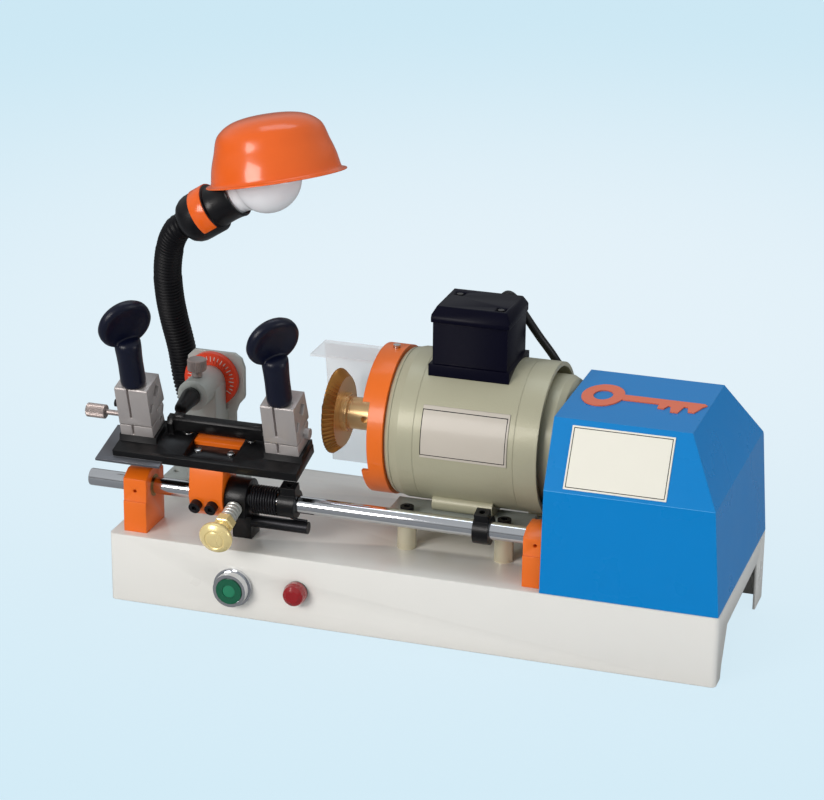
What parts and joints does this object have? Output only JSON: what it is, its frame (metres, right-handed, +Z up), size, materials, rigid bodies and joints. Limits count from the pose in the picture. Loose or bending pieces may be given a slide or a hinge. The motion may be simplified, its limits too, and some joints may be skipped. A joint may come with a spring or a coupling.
{
  "type": "key duplicating machine",
  "caption": "Bench key duplicator: rocking carriage with vises, motor-driven cutter, tracer, guard ring, rear cover and gooseneck lamp.",
  "frame": {"origin": "middle of the whole machine's footprint, on the bench", "axes": "+X along the base towards the rear cover end, +Y away from the operator, +Z up"},
  "size_m": [0.535, 0.2264, 0.3865],
  "materials": {
    "white_paint": "satin",
    "orange_paint": "gloss",
    "orange_enamel": "gloss",
    "key_emblem_paint": "gloss",
    "bronze": "satin",
    "motor_paint": "satin",
    "core_iron": "matte",
    "nickel": "satin",
    "dark_steel": "satin",
    "box_plastic": "gloss",
    "screw_steel": "polished",
    "cable_rubber": "satin",
    "plate_print": "satin",
    "cover_plate_print": "satin",
    "clear_plastic": "gloss",
    "blue_enamel": "gloss",
    "bezel_chrome": "polished",
    "green_button": "gloss",
    "holder_metal": "satin",
    "red_lens": "gloss",
    "capacitor_can": "satin",
    "grey_casting": "satin",
    "black_steel": "satin",
    "dial_red": "satin",
    "knurled_steel": "satin",
    "hose_black": "satin",
    "lamp_plastic": "satin",
    "bulb_glass": "gloss",
    "rotor_steel": "satin",
    "brass_turned": "polished",
    "nut_steel": "satin",
    "zinc": "satin",
    "jaw_steel": "satin",
    "knob_plastic": "satin"
  },
  "bodies": {
    "base": {"base_housing": "white_paint", "left_bearing_block": "orange_paint", "right_bearing_block": "orange_paint", "rod_bushes": "bronze", "motor_shell": "motor_paint", "motor_front_bell": "motor_paint", "motor_rear_bell": "motor_paint", "stator_core": "core_iron", "motor_foot": "motor_paint", "motor_stand": "nickel", "motor_bolts": "dark_steel", "terminal_box": "box_plastic", "terminal_lid": "box_plastic", "small_screws": "screw_steel", "motor_cable": "cable_rubber", "cable_fittings": "cable_rubber", "motor_nameplate": "plate_print", "guard_ring": "orange_paint", "clear_shield": "clear_plastic", "rear_cover": "blue_enamel", "cover_label": "cover_plate_print", "key_emblem": "key_emblem_paint", "button_housing": "bezel_chrome", "indicator_holder": "holder_metal", "indicator_lens": "red_lens", "start_capacitor": "capacitor_can", "tracer_housing": "grey_casting", "lamp_mount": "hose_black", "gooseneck": "hose_black"},
    "rotor": {"motor_rotor": "rotor_steel", "cutter_arbor": "brass_turned", "cutter_wheel": "brass_turned", "cutter_nut": "nut_steel", "brush_wheel": "brass_turned"},
    "slide_block": {"lock_bracket": "black_steel", "spring_bar": "dark_steel", "plunger_housing": "zinc"},
    "release_knob": {"pull_knob": "brass_turned"},
    "carriage": {"carriage_rod": "bezel_chrome", "carriage_arm": "orange_paint", "arm_screws": "dark_steel", "carriage_plate": "black_steel", "left_lower_jaw": "jaw_steel", "right_lower_jaw": "jaw_steel", "rod_collars": "black_steel", "return_spring": "dark_steel"},
    "left_jaw": {"left_upper_jaw": "jaw_steel"},
    "right_jaw": {"right_upper_jaw": "jaw_steel"},
    "left_knob": {"left_vise_knob": "knob_plastic"},
    "right_knob": {"right_vise_knob": "knob_plastic"},
    "gauge": {"key_gauge": "black_steel"},
    "stop": {"tip_stop": "knurled_steel"},
    "spindle": {"tracer_spindle": "black_steel"},
    "dial": {"tracer_dial": "dial_red"},
    "lock_screw": {"tracer_lock": "knurled_steel"},
    "lamp_head": {"lamp_cup": "lamp_plastic", "lamp_bulb": "bulb_glass"},
    "shade": {"lamp_shade": "orange_enamel"},
    "button": {"button_cap": "green_button"}
  },
  "joints": [
    {"name": "rotor_spin", "type": "hinge", "parent": "base", "child": "rotor", "pos_m": [0.0175, 0.02417, 0.1465], "axis": [1, 0, 0], "continuous": true},
    {"name": "carriage_slide", "type": "slide", "parent": "base", "child": "slide_block", "axis": [1, 0, 0], "range_m": [-0.03, 0.03]},
    {"name": "carriage_tilt", "type": "hinge", "parent": "slide_block", "child": "carriage", "pos_m": [0.0175, -0.05133, 0.093], "axis": [1, 0, 0], "range_deg": [-18, 25], "deforming": ["return_spring"]},
    {"name": "release_pull", "type": "slide", "parent": "slide_block", "child": "release_knob", "axis": [0, -0.9744, -0.225], "range_m": [0, 0.006], "stiffness_N_per_m": 900, "springref_m": -0.003},
    {"name": "left_knob_turn", "type": "hinge", "parent": "left_jaw", "child": "left_knob", "pos_m": [-0.2165, -0.05839, 0.18118], "axis": [0, -0.2588, 0.9659], "range_deg": [0, 900]},
    {"name": "left_jaw_lift", "type": "slide", "parent": "carriage", "child": "left_jaw", "axis": [0, -0.2588, 0.9659], "range_m": [0, 0.00375]},
    {"name": "right_knob_turn", "type": "hinge", "parent": "right_jaw", "child": "right_knob", "pos_m": [-0.0925, -0.05839, 0.18118], "axis": [0, -0.2588, 0.9659], "range_deg": [0, 900]},
    {"name": "right_jaw_lift", "type": "slide", "parent": "carriage", "child": "right_jaw", "axis": [0, -0.2588, 0.9659], "range_m": [0, 0.00375]},
    {"name": "gauge_swing", "type": "hinge", "parent": "carriage", "child": "gauge", "pos_m": [-0.1525, -0.03531, 0.14336], "axis": [1, 0, 0], "range_deg": [-45, 75]},
    {"name": "stop_slide", "type": "slide", "parent": "carriage", "child": "stop", "axis": [-1, 0, 0], "range_m": [-0.012, 0.012]},
    {"name": "dial_turn", "type": "hinge", "parent": "base", "child": "dial", "pos_m": [-0.198, 0.05618, 0.1465], "axis": [0, -1, 0], "range_deg": [-120, 120]},
    {"name": "spindle_feed", "type": "slide", "parent": "base", "child": "spindle", "axis": [0, -1, 0], "range_m": [-0.000333, 0.000333]},
    {"name": "lock_screw_turn", "type": "hinge", "parent": "base", "child": "lock_screw", "pos_m": [-0.198, 0.02817, 0.16], "axis": [0, 0, 1], "range_deg": [0, 360]},
    {"name": "lamp_bend", "type": "hinge", "parent": "base", "child": "lamp_head", "pos_m": [-0.2285, 0.07917, 0.14], "axis": [0, 1, 0], "range_deg": [-10, 10], "deforming": ["gooseneck"]},
    {"name": "shade_swivel", "type": "hinge", "parent": "lamp_head", "child": "shade", "pos_m": [-0.1378, 0.03617, 0.3325], "axis": [0.8434, 0, 0.5373], "range_deg": [-25, 25]},
    {"name": "button_press", "type": "slide", "parent": "base", "child": "button", "axis": [0, 1, 0], "range_m": [0, 0.003], "stiffness_N_per_m": 400, "springref_m": -0.002}
  ],
  "couplings": [
    {"joint": "left_knob_turn", "follows": "left_jaw_lift", "rad_per_m": 4188.8},
    {"joint": "right_knob_turn", "follows": "right_jaw_lift", "rad_per_m": 4188.8},
    {"joint": "dial_turn", "follows": "spindle_feed", "rad_per_m": 6283.2}
  ]
}
